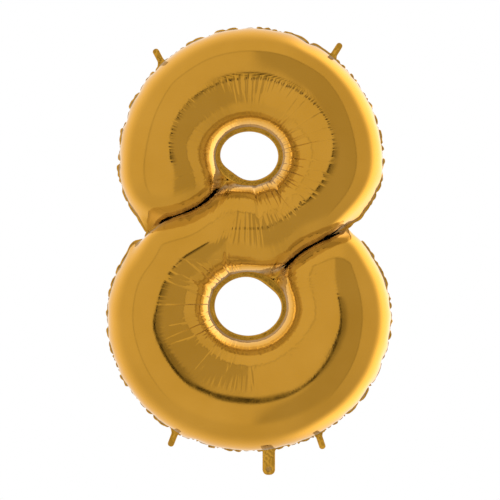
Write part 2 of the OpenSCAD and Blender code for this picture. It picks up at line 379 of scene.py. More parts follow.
def bend_towards(flat, at, moves):
    """A smooth field over the flat film that takes the given moves at the given spots"""
    def kernel(away):
        return np.where(away > 0, away ** 2 * np.log(np.maximum(away, 1e-9)), 0)

    count = len(at)
    table = np.zeros((count + 3, count + 3))
    table[:count, :count] = kernel(np.linalg.norm(at[:, None] - at[None], axis=2))
    table[:count, :count] += np.eye(count) * 1e-5
    table[:count, count] = 1
    table[:count, count + 1:] = at
    table[count:, :count] = table[:count, count:].T
    pull = np.linalg.solve(table, np.concatenate([moves, np.zeros((3, 3))]))
    weights = kernel(np.linalg.norm(flat[:, None] - at[None], axis=2))
    return weights @ pull[:count] + pull[count] + flat @ pull[count + 1:]


def fit_to_seams(flat, front, back, chains, faces):
    """Move the films smoothly so that their welds lie on the CAD model's seams"""
    at, moves, goals = [], [], {}
    for name, line in inflated_lines().items():
        chain = chains[name]
        closed = name.endswith("rim")
        goal = np.zeros((len(chain), 3))
        goal[:, [0, 2]] = evenly(line, len(chain) - 1)
        middle = front[chain]
        if closed:
            middle = running_mean(middle[:-1], CALM_REACH, True)
            middle = np.concatenate([middle, middle[:1]])
        elif len(chain) > LONG_CHAIN:
            middle = running_mean(middle, CALM_REACH, False)
        step = 3 if closed else 5
        picked = np.arange(0, len(chain) - (1 if closed else 0), step)
        if name.endswith("seam"):
            picked = picked[1:]
        at.append(flat[chain[picked]])
        moves.append((goal - middle)[picked])
        goals[name] = goal
    field = bend_towards(flat, np.concatenate(at), np.concatenate(moves))
    front, back = front + field, back + field
    for name in ("upper_rim", "lower_rim", "left_seam", "right_seam"):
        front[chains[name]] = back[chains[name]] = goals[name]
    edge = np.concatenate([chains["upper"][:-1], chains["lower"][:-1]])
    calm = running_mean(front[edge], CALM_REACH, True)
    front[edge] = back[edge] = GATHERING * front[edge] + (1 - GATHERING) * calm
    front = round_out(flat, front, -1, chains, faces)
    back = round_out(flat, back, 1, chains, faces)
    return front, back


def round_out(flat, film, side, chains, faces):
    """Bring the tubes close to a round section: steep beside the welds and level on the crest"""
    every = np.concatenate(list(chains.values()))
    beyond = distance_to(flat, flat[every])
    turn = np.radians(90 * np.minimum(beyond / FLAT_HALF, 1))
    ideal = side * FULLNESS * HALF_DEPTH * np.sin(turn)
    deepest = np.percentile(np.abs(film[:, 1]), 99.5)
    own = film[:, 1] * FULLNESS * HALF_DEPTH / deepest
    film = film.copy()
    film[:, 1] = ROUNDNESS * ideal + (1 - ROUNDNESS) * own
    place = film[:, [0, 2]]
    slide = np.zeros_like(place)
    lines = inflated_lines()
    gaps = np.stack([distance_to(flat, flat[chain]) for chain in chains.values()])
    closest = np.argmin(gaps, axis=0)
    for number, name in enumerate(chains):
        mine = closest == number
        goal = evenly(lines[name], 400)
        nearest = goal[nearest_of(place[mine], goal)]
        away = np.linalg.norm(place[mine] - nearest, axis=1)
        run = np.minimum(gaps[number, mine] / FLAT_HALF, 1)
        wanted = TUBE_HALF * (1 - np.cos(np.radians(90 * run)))
        if name.endswith("seam"):
            wanted *= 1 - WAIST_PINCH * (1 - run) ** 2
        share = wanted / np.maximum(away, 1 * MM) - 1
        slide[mine] = (place[mine] - nearest) * share[:, None] * hump(run, 0, 0.7, 0.3)[:, None]
    edges = edges_of(faces)
    for _ in range(SLIDE_ROUNDS):
        slide[every] = 0
        slide = mean_beside(slide, edges)
    slide[every] = 0
    film[:, [0, 2]] += slide
    return film


# -------- smoothing and refining

SMOOTH_ROUNDS = 1200


def sides_of(faces):
    """Every triangle's three sides, as two point numbers with the lower one first"""
    return np.sort(np.concatenate([faces[:, [0, 1]], faces[:, [1, 2]], faces[:, [2, 0]]]), axis=1)


def edges_of(faces):
    """Every edge once"""
    return np.unique(sides_of(faces), axis=0)


def smooth(points, edges, amount, rounds):
    """Even out folds without shrinking. amount is 0 where a point must stay, up to 1."""
    for _ in range(rounds):
        for factor in (0.5, -0.505):
            points = points + factor * amount[:, None] * (mean_beside(points, edges) - points)
    return points


def mean_beside(values, edges):
    """The mean of the values at the points joined to each point"""
    ends = np.concatenate([edges[:, 0], edges[:, 1]])
    others = values[np.concatenate([edges[:, 1], edges[:, 0]])]
    total = [np.bincount(ends, others[:, k], len(values)) for k in range(values.shape[1])]
    return np.stack(total, 1) / np.bincount(ends, minlength=len(values))[:, None]


def refine(layers, faces, fixed):
    """One round of Loop subdivision. layers are arrays of values on the points, the first of
    them their places, and fixed marks the points of welds, which only their own line moves."""
    sides = sides_of(faces)
    edges, index, uses = np.unique(sides, axis=0, return_inverse=True, return_counts=True)
    index = index.reshape(-1)
    across = np.concatenate([faces[:, 2], faces[:, 0], faces[:, 1]])
    count = len(layers[0])
    sharp = (uses == 1) | (fixed[edges[:, 0]] & fixed[edges[:, 1]])
    degree = np.bincount(edges.ravel(), minlength=count)[:, None]
    share = np.where(degree == 3, 3 / 16, 3 / (8 * np.maximum(degree, 1)))
    result = []
    for values in layers:
        ends = values[edges].sum(1)
        apexes = np.zeros_like(ends)
        np.add.at(apexes, index, values[across])
        middle = np.where(sharp[:, None], ends / 2, ends * 3 / 8 + apexes / 8)
        total = np.zeros_like(values)
        np.add.at(total, edges[:, 0], values[edges[:, 1]])
        np.add.at(total, edges[:, 1], values[edges[:, 0]])
        moved = values * (1 - degree * share) + total * share
        old = np.where(fixed[:, None], values, moved)
        result.append(np.concatenate([old, middle]))
    third = len(faces)
    ab, bc, ca = (count + index[k * third:(k + 1) * third] for k in range(3))
    a, b, c = faces.T
    quarters = ((a, ab, ca), (ab, b, bc), (ca, bc, c), (ab, bc, ca))
    faces = np.concatenate([np.stack(corners, 1) for corners in quarters])
    return result, faces, np.concatenate([fixed, sharp])


# -------- creases

# Height between the holes that parts their creases, degrees from one long crease to the next,
# and how far creases, folds and crumples stand out or in
FAN_SPLIT = -0.018
FAN_PITCH = 5.5
FAN_HEIGHT = 0.6 * MM
FOLD_DEPTH = 3.6 * MM
FOLD_WIDTH = 5.5 * MM
WALL_CRUMPLE = 0.6 * MM
KNOT_CRUMPLE = 2.2 * MM


def polar(points, centre, size):
    """Angle in degrees and distance beyond the rim, as seen from the middle of a hole"""
    away = points - centre
    turn = np.arctan2(away[:, 1] / size[1], away[:, 0] / size[0])
    reach = np.hypot(away[:, 0] / size[0], away[:, 1] / size[1])
    return np.degrees(turn), (reach - 1) * size.mean()


def hump(values, low, high, soft):
    """1 between low and high, falling to 0 over soft on both sides"""
    rise = np.clip((values - low) / soft + 1, 0, 1)
    fall = np.clip((high - values) / soft + 1, 0, 1)
    return (rise * rise * (3 - 2 * rise)) * (fall * fall * (3 - 2 * fall))


def noise_along(seed, *axes):
    """Smooth noise at each point, one whole step of any axis to a lump"""
    rows = np.stack(np.broadcast_arrays(*axes), 1)
    if rows.shape[1] == 1:
        rows = np.concatenate([rows, np.full_like(rows, 0.37)], 1)
    return np.array([noise.noise(Vector((row[0], row[1], seed))) for row in rows])


def fan_of(place):
    """Angle round the nearer hole, distance from its rim and which hole, for each point"""
    angle_up, reach_up = polar(place, UPPER_RIM, UPPER_RIM_SIZE)
    angle_low, reach_low = polar(place, LOWER_RIM, LOWER_RIM_SIZE)
    upper = place[:, 1] > FAN_SPLIT
    angle = np.where(upper, (angle_up - LEFT_SEAM_END) % 360, (angle_low - RIGHT_SEAM_END) % 360)
    reach = np.where(upper, reach_up, reach_low)
    clear = np.clip(np.abs(place[:, 1] - FAN_SPLIT) / (14 * MM), 0, 1)
    return angle + 400 * upper, reach, clear


def crease_height(place, seed):
    """How far creases push the film out: long ones that fan out from the holes, and the
    crumpled film beside the waist seams and where they end"""
    angle, reach, clear = fan_of(place)
    fan = np.clip(1 - np.abs(noise_along(seed, angle / FAN_PITCH)) * 7, 0, 1) ** 1.5
    length = 48 * MM + 40 * MM * noise_along(seed + 1, angle / 9)
    height = FAN_HEIGHT * fan * hump(reach, 6 * MM, length, 22 * MM) * clear
    for start, end in crossing_folds():
        height -= FOLD_DEPTH * fold_between(place, start, end)
    lines = inflated_lines()
    for name in ("left_seam", "right_seam"):
        line = evenly(lines[name], 120)
        beside = distance_to(place, line)
        wall = np.exp(-(beside / (22 * MM)) ** 2)
        run = nearest_of(place, line) * length_of(line) / 120
        height += WALL_CRUMPLE * wall * noise_along(seed + 2, run / (9 * MM), beside / (30 * MM))
        knot = np.exp(-(np.linalg.norm(place - line[-1], axis=1) / (34 * MM)) ** 2)
        lumps = place / (11 * MM)
        height += KNOT_CRUMPLE * knot * noise_along(seed + 3, lumps[:, 0], lumps[:, 1])
    return height


def crossing_folds():
    """Ends of the long folds that run from the holes' rims into the crossing"""
    folds = []
    for rim, size, turn, run in ((UPPER_RIM, UPPER_RIM_SIZE, -80, (0.004, -0.090)),
                                 (UPPER_RIM, UPPER_RIM_SIZE, -54, (0.020, -0.080)),
                                 (LOWER_RIM, LOWER_RIM_SIZE, 116, (-0.004, 0.085)),
                                 (LOWER_RIM, LOWER_RIM_SIZE, 152, (-0.048, 0.030))):
        start = rim + size * 1.06 * [np.cos(np.radians(turn)), np.sin(np.radians(turn))]
        folds.append((start, start + run))
    return folds


def fold_between(place, start, end):
    """1 along a slightly curved narrow fold, fading at its far end"""
    along = end - start
    span = np.linalg.norm(along)
    share = ((place - start) @ along) / span ** 2
    side = (place - start) @ np.array([-along[1], along[0]]) / span
    side = side - 0.06 * span * np.sin(np.pi * np.clip(share, 0, 1))
    return np.exp(-(side / FOLD_WIDTH) ** 2) * hump(share, 0.1, 0.6, 0.4)


def crease_values(place, seed):
    """What the film's shader needs for its finest creases: angle, distance and two strengths.
    They are strongest in a band over the upper hole, and long to one side of each hole."""
    angle, reach, clear = fan_of(place)
    fan, upper = angle % 400, angle >= 400
    patches = np.clip(0.7 + 1.4 * noise_along(seed + 5, angle / 38), 0.1, 1)
    over_hole = hump(fan, 190, 285, 30) * np.where(upper, 1.0, 0.25)
    crest = hump(reach, 84 * MM, 104 * MM, 16 * MM) * np.maximum(over_hole, 0.35 * patches)
    inner = hump(reach, 8 * MM, 46 * MM, 28 * MM) * (0.3 + 0.6 * patches)
    crossing = hump(place[:, 1], 0.0, 0.09, 0.03) * hump(place[:, 0], -0.06, 0.09, 0.03)
    fine = np.maximum(np.maximum(crest, 0.7 * inner), crossing) * clear
    long = hump(reach, 10 * MM, 84 * MM, 26 * MM) * clear * (0.2 + 0.8 * hump(fan, 75, 165, 35))
    return {"fan_angle": angle, "fan_reach": reach, "fine_crease": fine, "long_crease": long}


def store(made, values):
    """Keep values on a mesh's points, for its material"""
    for name, numbers in values.items():
        made.data.attributes.new(name, "FLOAT", "POINT").data.foreach_set("value", numbers)


# -------- materials


def new_material(name):
    """A material, its node tree and its shader"""
    material = bpy.data.materials.new(name)
    material.use_nodes = True
    tree = material.node_tree
    return material, tree, tree.nodes["Principled BSDF"]


def add_node(tree, kind, **values):
    """A node with settings or input values, where a socket's spaces are written as _"""
    node = tree.nodes.new(kind)
    for name, value in values.items():
        if hasattr(node, name):
            setattr(node, name, value)
        else:
            node.inputs[name.replace("_", " ")].default_value = value
    return node


def expression(tree):
    """Two helpers that build maths nodes: any operation, and a smooth step"""
    def calc(operation, *values, clamp=False):
        node = tree.nodes.new("ShaderNodeMath")
        node.operation = operation
        node.use_clamp = clamp
        for socket, value in zip(node.inputs, values):
            if isinstance(value, (int, float)):
                socket.default_value = value
            else:
                tree.links.new(value, socket)
        return node.outputs[0]

    def step(value, low, high):
        """0 at low and beyond, 1 at high and beyond, smooth between. low may be the larger."""
        node = tree.nodes.new("ShaderNodeMapRange")
        node.interpolation_type = "SMOOTHSTEP"
        node.inputs["From Min"].default_value = min(low, high)
        node.inputs["From Max"].default_value = max(low, high)
        node.inputs["To Min"].default_value = 0 if low < high else 1
        node.inputs["To Max"].default_value = 1 if low < high else 0
        tree.links.new(value, node.inputs["Value"])
        return node.outputs["Result"]

    return calc, step


def noise_at(tree, scale, detail):
    """Noise in the piece's own space, scale lumps to a metre"""
    place = add_node(tree, "ShaderNodeTexCoord")
    texture = add_node(tree, "ShaderNodeTexNoise", Scale=scale, Detail=detail)
    tree.links.new(place.outputs["Object"], texture.inputs["Vector"])
    return texture.outputs["Fac"]


def ramp(tree, value, low, high):
    """Maps 0.3 to 0.7 of a noise onto two numbers or colours"""
    if isinstance(low, tuple):
        node = add_node(tree, "ShaderNodeMix", data_type="RGBA")
        stretch = ramp(tree, value, 0.0, 1.0)
        tree.links.new(stretch, node.inputs["Factor"])
        node.inputs[6].default_value = (*low, 1)
        node.inputs[7].default_value = (*high, 1)
        return node.outputs[2]
    node = add_node(tree, "ShaderNodeMapRange")
    for name, number in (("From Min", 0.3), ("From Max", 0.7), ("To Min", low), ("To Max", high)):
        node.inputs[name].default_value = number
    tree.links.new(value, node.inputs["Value"])
    return node.outputs["Result"]


def add_bump(tree, shader, height, strength, distance):
    """Fine relief on a shader"""
    bump = add_node(tree, "ShaderNodeBump", Strength=strength, Distance=distance)
    tree.links.new(height, bump.inputs["Height"])
    tree.links.new(bump.outputs["Normal"], shader.inputs["Normal"])


def gold_film_material():
    """Metallised film: a bright gold mirror, very slightly uneven"""
    material, tree, shader = new_material("gold_film")
    shader.inputs["Metallic"].default_value = 1
    tinted = ramp(tree, noise_at(tree, 9, 3), GOLD_DEEP, GOLD_LIGHT)
    # Base colour: gold of random tone, with a painted reflection tint that turns it nearly neutral where
    # the film is seen in its own mirror
    tree.links.new(painted_reflection_tint(tree, tinted), shader.inputs["Base Color"])
    tree.links.new(ramp(tree, noise_at(tree, 55, 4), 0.07, 0.13), shader.inputs["Roughness"])
    shader.inputs["Coat Weight"].default_value = 0.16
    shader.inputs["Coat Roughness"].default_value = 0.06
    shader.inputs["Specular Tint"].default_value = (*GOLD_EDGE, 1)
    calc, _ = expression(tree)
    angle = attribute(tree, "fan_angle")
    reach = attribute(tree, "fan_reach")
    fine = crease_noise(tree, calc, angle, reach, FINE_PER_DEGREE, 9.0)
    fine = calc("MULTIPLY", fine, attribute(tree, "fine_crease"))
    long = crease_noise(tree, calc, angle, reach, LONG_PER_DEGREE, 3.0)
    away = calc("ABSOLUTE", calc("SUBTRACT", long, 0.5))
    long = calc("SUBTRACT", 1.0, calc("MULTIPLY", away, 26.0), clamp=True)
    long = calc("MULTIPLY", long, attribute(tree, "long_crease"))
    grain = calc("MULTIPLY", noise_at(tree, 240, 3), 0.05)
    creases = calc("ADD", calc("MULTIPLY", fine, FINE_SHARE), calc("MULTIPLY", long, LONG_SHARE))
    add_bump(tree, shader, calc("ADD", creases, grain), 1.0, CREASE_BUMP)
    return material


def attribute(tree, name):
    """A value that store() kept on the mesh"""
    return add_node(tree, "ShaderNodeAttribute", attribute_name=name).outputs["Fac"]


def crease_noise(tree, calc, angle, reach, per_degree, per_metre):
    """Noise drawn out along the lines that run away from a hole"""
    place = add_node(tree, "ShaderNodeCombineXYZ")
    tree.links.new(calc("MULTIPLY", angle, per_degree), place.inputs[0])
    tree.links.new(calc("MULTIPLY", reach, per_metre), place.inputs[1])
    texture = add_node(tree, "ShaderNodeTexNoise", Scale=1.0, Detail=1.0)
    tree.links.new(place.outputs[0], texture.inputs["Vector"])
    return texture.outputs["Fac"]


def painted_reflection_tint(tree, colour):
    """Painted reflection: where the film mirrors itself, the mirrored film is given a nearly neutral
    colour instead of its gold, so that gold seen twice over stays gold and doesn't turn red"""
    path = add_node(tree, "ShaderNodeLightPath")
    node = add_node(tree, "ShaderNodeMix", data_type="RGBA")
    tree.links.new(path.outputs["Is Glossy Ray"], node.inputs["Factor"])
    tree.links.new(colour, node.inputs[6])
    node.inputs[7].default_value = (*PAINTED_REFLECTION_GOLD, 1)
    return node.outputs[2]


def welded_film_material():
    """Two films welded flat: darker, rougher, with the fine crimp of the welding jaw"""
    material, tree, shader = new_material("welded_film")
    shader.inputs["Metallic"].default_value = 1
    tinted = ramp(tree, noise_at(tree, 60, 3), WELD_DEEP, WELD_LIGHT)
    # Base colour: gold of random tone, with a painted reflection tint that turns it nearly neutral where
    # the weld is seen in the film's mirror
    tree.links.new(painted_reflection_tint(tree, tinted), shader.inputs["Base Color"])
    tree.links.new(ramp(tree, noise_at(tree, 160, 3), 0.12, 0.24), shader.inputs["Roughness"])
    shader.inputs["Specular Tint"].default_value = (*GOLD_EDGE, 1)
    add_bump(tree, shader, noise_at(tree, 420, 2), 0.18, 0.5 * MM)
    return material


def valve_material():
    """Clear polyethylene film"""
    material, tree, shader = new_material("valve_film")
    shader.inputs["Base Color"].default_value = (0.80, 0.66, 0.40, 1)
    shader.inputs["Alpha"].default_value = 0.1
    shader.inputs["Specular IOR Level"].default_value = 0.08
    tree.links.new(ramp(tree, noise_at(tree, 90, 3), 0.12, 0.3), shader.inputs["Roughness"])
    add_bump(tree, shader, noise_at(tree, 200, 3), 0.3, 0.5 * MM)
    return material


# Creases to a degree round a hole, their shares of the bump, and its height
FINE_PER_DEGREE = 0.42
LONG_PER_DEGREE = 0.085
FINE_SHARE = 1.8
LONG_SHARE = 1.5
CREASE_BUMP = 0.8 * MM

# The gold in its darker and lighter places, the nearly neutral colour painted into the film's reflections
# of itself, and the tint at its edges
GOLD_DEEP = (0.79, 0.385, 0.036)
GOLD_LIGHT = (0.85, 0.425, 0.048)
PAINTED_REFLECTION_GOLD = (0.78, 0.71, 0.58)
GOLD_EDGE = (1.0, 0.95, 0.84)
WELD_DEEP = (0.72, 0.36, 0.035)
WELD_LIGHT = (0.86, 0.44, 0.05)
GOLD = gold_film_material()
WELD = welded_film_material()
CLEAR = valve_material()

# -------- making pieces


def piece(name, points, faces, material, body=None, thick=0.0):
    """A smooth mesh piece, thickened to a closed solid where asked"""
    mesh = bpy.data.meshes.new(name)
    mesh.from_pydata(np.asarray(points).tolist(), [], np.asarray(faces).tolist())
    made = bpy.data.objects.new(name, mesh)
    bpy.context.scene.collection.objects.link(made)
    if thick:
        solid = made.modifiers.new("thickness", "SOLIDIFY")
        solid.thickness = thick
        solid.offset = 0
        shaped = made.evaluated_get(bpy.context.evaluated_depsgraph_get())
        made.data = bpy.data.meshes.new_from_object(shaped)
        made.data.name = name
        made.modifiers.clear()
        bpy.data.meshes.remove(mesh)
    made.data.materials.clear()
    made.data.materials.append(material)
    made.data.shade_smooth()
    if body:
        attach(made, body)
    return made


def strip_faces(rows, columns, closed):
    """Quads of a grid whose points are numbered row by row"""
    faces = []
    for r in range(rows - 1):
        for c in range(columns if closed else columns - 1):
            d = (c + 1) % columns
            faces.append((r * columns + c, r * columns + d, (r + 1) * columns + d, (r + 1) * columns + c))
    return faces


# -------- the two films


def build_films():
    """Both films with their fine faces and welded points, and the coarse films they came from"""
    flat, faces, chains = cut_film()
    welded = np.zeros(len(flat), bool)
    for chain in chains.values():
        welded[chain] = True
    front, back = inflate(flat, faces, welded)
    front, back = fit_to_seams(flat, front, back, chains, faces)
    edges = edges_of(faces)
    amount = smoothing_amount(flat, chains)
    films = []
    for film in (front, back):
        film = smooth(film, edges, amount, SMOOTH_ROUNDS)
        (spots,), new_faces, fixed = refine([film], faces, welded)
        films.append(spots)
    coarse = (front, back, faces, chains, welded)
    return films, new_faces, fixed, coarse


def smoothing_amount(flat, chains):
    """Nothing on the welds, rising slowly beside the outer seam, so that its gathers stay"""
    edge = np.concatenate([chains["upper"], chains["lower"]])
    amount = np.clip((distance_to(flat, flat[edge]) - 3 * MM) / (24 * MM), 0, 1)
    for chain in chains.values():
        amount[chain] = 0
    return amount


def nearest_of(points, targets):
    """The number of the closest target to each point"""
    near = KDTree(len(targets))
    for k, point in enumerate(targets):
        near.insert((point[0], point[1], 0), k)
    near.balance()
    return np.array([near.find((p[0], p[1], 0))[1] for p in points])


def distance_to(points, targets):
    """How far each point is from its closest target"""
    return np.linalg.norm(points - targets[nearest_of(points, targets)], axis=1)


def outward_normals(points, faces):
    """Unit normals at the points, from the faces that meet there"""
    a, b, c = (points[faces[:, k]] for k in range(3))
    normal = np.cross(b - a, c - a)
    total = np.zeros_like(points)
    for k in range(3):
        np.add.at(total, faces[:, k], normal)
    return total / np.maximum(np.linalg.norm(total, axis=1, keepdims=True), 1e-12)


def make_films():
    """The front and back film. Returns the coarse films, whose seams the welds follow."""
    films, faces, fixed, coarse = build_films()
    for name, spots, side in (("front_film", films[0], 1), ("back_film", films[1], -1)):
        order = faces if side == 1 else faces[:, ::-1]
        normals = outward_normals(spots, order)
        place = spots[:, [0, 2]]
        seed = 11.3 if side == 1 else 42.7
        height = crease_height(place, seed)
        height[fixed] = 0
        spots = spots + normals * height[:, None]
        made = piece(name, spots, order, GOLD, "balloon")
        store(made, crease_values(place, seed))
        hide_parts(name.replace("film", "panel"))
    return coarse


# -------- the welds


def away_from_films(chain, front, back, faces_near):
    """Unit directions from a weld line away from the film beside it"""
    inner = np.zeros((len(chain), 3))
    for k, number in enumerate(chain):
        beside = faces_near[number]
        inner[k] = (front[beside].mean(0) + back[beside].mean(0)) / 2
    spots = front[chain]
    along = np.roll(spots, -1, axis=0) - np.roll(spots, 1, axis=0)
    along /= np.linalg.norm(along, axis=1, keepdims=True)
    out = spots - inner
    out -= along * (out * along).sum(1, keepdims=True)
    out /= np.linalg.norm(out, axis=1, keepdims=True)
    out = running_mean(out, 2, True)
    return out / np.linalg.norm(out, axis=1, keepdims=True)


def drawn_out(points, times):
    """A closed line with more points, on smooth curves through the ones that it had"""
    before, after, beyond = (np.roll(points, k, axis=0) for k in (1, -1, -2))
    rows = []
    for t in np.arange(times) / times:
        row = before * (t * t - t / 2 - t ** 3 / 2) + points * (1 - 2.5 * t * t + 1.5 * t ** 3)
        row = row + after * (t / 2 + 2 * t * t - 1.5 * t ** 3) + beyond * (t ** 3 - t * t) / 2
        rows.append(row)
    return np.stack(rows, 1).reshape(-1, 3)


def neighbours(edges, wanted, skip):
    """For each wanted point, the points joined to it, without those in skip"""
    table = {int(k): [] for k in wanted}
    for a, b in edges:
        if a in table and not skip[b]:
            table[a].append(b)
        if b in table and not skip[a]:
            table[b].append(a)
    return table


def make_edge_weld(front, back, faces, chains, welded):
    """The outer weld: a narrow flat margin that waves with the gathers of the seam"""
    chain = np.concatenate([chains["upper"][:-1], chains["lower"][:-1]])
    edges = edges_of(faces)
    near = neighbours(edges, chain, welded)
    for number in chain:
        if not near[int(number)]:
            near[int(number)] = [int(number)]
    out = drawn_out(away_from_films(chain, front, back, near), 4)
    out /= np.linalg.norm(out, axis=1, keepdims=True)
    spots = drawn_out(front[chain], 4)
    rows = [-1.2, 1.0, 2.6, EDGE_WELD / MM]
    run = np.arange(len(spots))
    points = []
    for distance in rows:
        wave = np.array([noise.noise(Vector((k * 0.14, 3.1, 0.2))) for k in run])
        row = spots + out * distance * MM
        row[:, 1] += wave * max(distance, 0) * 0.32 * MM
        points.append(row)
    faces = strip_faces(len(rows), len(spots), True)
    made = piece("outer_weld", np.concatenate(points), faces, WELD, "balloon", 0.7 * MM)
    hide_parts("outer_seal")


def make_hole_weld(name, chain, front, rim, size):
    """The flat ring round a hole, from the gathered seam in to the cut edge"""
    spots = front[chain[:-1]]
    away = spots[:, [0, 2]] - rim
    away /= np.linalg.norm(away / size, axis=1, keepdims=True)
    angle, _ = polar(spots[:, [0, 2]], rim, size)
    seam_end = LEFT_SEAM_END if name == "upper" else RIGHT_SEAM_END
    turned = (angle - seam_end + 180) % 360 - 180
    width = HOLE_WELD + SEAM_END_WELD * np.exp(-(turned / 30) ** 2)
    cut = rim + away * (1 - width[:, None] / size)
    edge = np.zeros_like(spots)
    edge[:, [0, 2]] = cut
    points = []
    for share in (-0.08, 0.2, 0.45, 0.75, 1.0):
        row = spots * (1 - share) + edge * share
        ripple = np.array([noise.noise(Vector((k * 0.4, share * 2, size[0] * 50)))
                           for k in range(len(row))])
        row[:, 1] += ripple * 0.6 * MM * share
        points.append(row)
    faces = strip_faces(len(points), len(spots), True)
    points = np.concatenate(points)
    made = piece(name + "_hole_weld", points, faces, WELD, "balloon", 0.8 * MM)
    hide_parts(name + "_hole_seal")


def make_waist_weld(name, chain, front):
    """The welded line across the waist, a narrow ribbon at the bottom of the valley"""
    spots = evenly(front[chain], 3 * len(chain))
    along = np.gradient(spots, axis=0)
    side = np.cross(along, (0, 1, 0))
    side /= np.linalg.norm(side, axis=1, keepdims=True)
    points = np.concatenate([spots - side * 1.2 * MM, spots + side * 1.2 * MM])
    faces = strip_faces(2, len(spots), False)
    made = piece(name + "_waist_weld", points, faces, WELD, "balloon", 0.8 * MM)
    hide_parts(name + "_waist_seal")


# -------- tabs, neck and valve

# The tabs' width and reach beyond the fold, how far their roots lie on the margin, and the
# degrees by which each blade is turned at its tip
TAB_WIDTH = 14.6 * MM
TAB_LENGTH = 25 * MM
TAB_ROOT = 14 * MM
TAB_TWISTS = {"top_left_tab": 5, "top_right_tab": 16, "bottom_left_tab": -12, "bottom_right_tab": 10}

# The neck's root above its fold, the radii of its end's corners and of the fillets at its
# root, and the radius of its filling port
NECK_ROOT = 17 * MM
NECK_END_R = 11.6 * MM
NECK_FILLET = 9 * MM
PORT_R = 6.5 * MM


def crinkle(points, size, amount, seed):
    """Push the points of a flat piece in and out of its plane, like film that was creased"""
    heights = []
    for x, z in points:
        coarse = noise.noise(Vector((x / size, z / size, seed)))
        fine = noise.noise(Vector((x * 2.3 / size, z * 2.3 / size, seed)))
        heights.append(coarse + 0.5 * fine)
    return amount * np.array(heights)


def rounded_end(half, reach, radius, count):
    """Half widths at distances that end in rounded corners"""
    distances = np.concatenate([np.linspace(0, reach - radius, 8)[:-1],
                                reach - radius + radius * np.sin(np.linspace(0, math.pi / 2, count))])
    past = np.clip((distances - reach + radius) / radius, 0, 1)
    widths = half - radius + radius * np.sqrt(1 - past ** 2)
    return distances, widths


def make_tab(name, twist, seed):
    """A welded tab: a flared root on the margin, and a crinkled blade beyond its fold line"""
    joint = JOINTS[name + "_fold"]
    fold = np.array(joint["pos_m"])
    axis = np.array(joint["axis"])
    point = np.array([axis[2], 0, -axis[0]])
    side = np.array([point[2], 0, -point[0]])
    distances, halves = rounded_end(TAB_WIDTH / 2, TAB_LENGTH, 6.6 * MM, 9)
    root = np.linspace(-TAB_ROOT, 0, 8)[:-1]
    flare = TAB_WIDTH / 2 + 7 * MM * np.clip(-root / (11 * MM) - 0.3, 0, 1) ** 1.3
    distances = np.concatenate([root, distances])
    halves = np.concatenate([flare, halves])
    steps = np.linspace(-1, 1, 9)
    points = []
    for distance, half in zip(distances, halves):
        turn = math.radians(twist) * np.clip(distance / TAB_LENGTH, 0, 1)
        for step in steps:
            along = fold + point * distance
            across = side * math.cos(turn) + np.array([0, 1, 0]) * math.sin(turn)
            points.append(along + across * half * step)
    points = np.array(points)
    loose = np.repeat(np.clip((distances + 9 * MM) / (8 * MM), 0, 1), len(steps))
    points[:, 1] += loose * crinkle(points[:, [0, 2]], 7 * MM, 1.4 * MM, seed)
    faces = strip_faces(len(distances), len(steps), False)
    made = piece(name + "_film", points, faces, WELD, None, 0.9 * MM)
    bevel(made)
    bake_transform(made)
    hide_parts(name)


def bevel(made):
    """One round of subdivision, kept in the mesh"""
    made.modifiers.new("round", "SUBSURF").levels = 1
    shaped = made.evaluated_get(bpy.context.evaluated_depsgraph_get())
    old = made.data
    made.data = bpy.data.meshes.new_from_object(shaped)
    made.modifiers.clear()
    bpy.data.meshes.remove(old)
    made.data.shade_smooth()


def neck_outline(x, top, bottom, half, radius, fillet):
    """Down the left side, round the end and up the right side, with fillets at the top"""
    turn = np.linspace(0, math.pi / 2, 7)
    edge = x - half
    left = [(edge - fillet + fillet * math.sin(t), top - fillet + fillet * math.cos(t)) for t in turn]
    straight = np.linspace(top - fillet, bottom + radius, 9)[1:-1]
    left += [(edge, z) for z in straight]
    left += [(edge + radius - radius * math.cos(t), bottom + radius - radius * math.sin(t)) for t in turn]
    right = [(2 * x - a, z) for a, z in reversed(left)]
    return np.array(left + right)


def make_neck():
    """The two films of the neck, the front one with its filling port"""
    fold = JOINTS["neck_fold"]["pos_m"]
    low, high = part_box("neck_front_film")
    x = (low.x + high.x) / 2
    half = (high.x - low.x) / 2
    port = frame_port()
    around = neck_outline(x, fold[2] + NECK_ROOT, low.z, half, NECK_END_R, NECK_FILLET)
    outline = chain_of(around, 1.6 * MM)
    ring = np.array([(port[0] + PORT_R * math.cos(a), port[2] + PORT_R * math.sin(a))
                     for a in np.linspace(0, 2 * math.pi, 28, endpoint=False)])
    for name, side, holes in (("neck_front", -1, [ring]), ("neck_back", 1, [])):
        flat, faces, spans = fill(outline, holes, [], 1.7 * MM, seed=5)
        puffed = np.clip((half - np.abs(flat[:, 0] - x)) / half, 0, 1)
        ends = np.clip((flat[:, 1] - low.z) / (7 * MM), 0, 1)
        depth = 0.5 * MM + 1.5 * MM * np.sqrt(np.clip(puffed * 2.2, 0, 1)) * ends
        ripple = crinkle(flat, 6 * MM, 1.3 * MM, 2.0 + side)
        inner = np.clip(puffed * 5, 0, 1)
        points = np.zeros((len(flat), 3))
        points[:, [0, 2]] = flat
        points[:, 1] = side * np.maximum(depth + ripple * inner, 0.35 * MM)
        order = faces if side == -1 else faces[:, ::-1]
        made = piece(name + "_skin", points, order, WELD, None, 0.4 * MM)
        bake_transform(made)
        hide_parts(name + "_film")


def frame_port():
    """Where the record has the filling port"""
    for mount in frame["record"]["mounts"]:
        if mount["name"] == "filling_port":
            return mount["pos_m"]
    raise RuntimeError("the record has no filling_port")


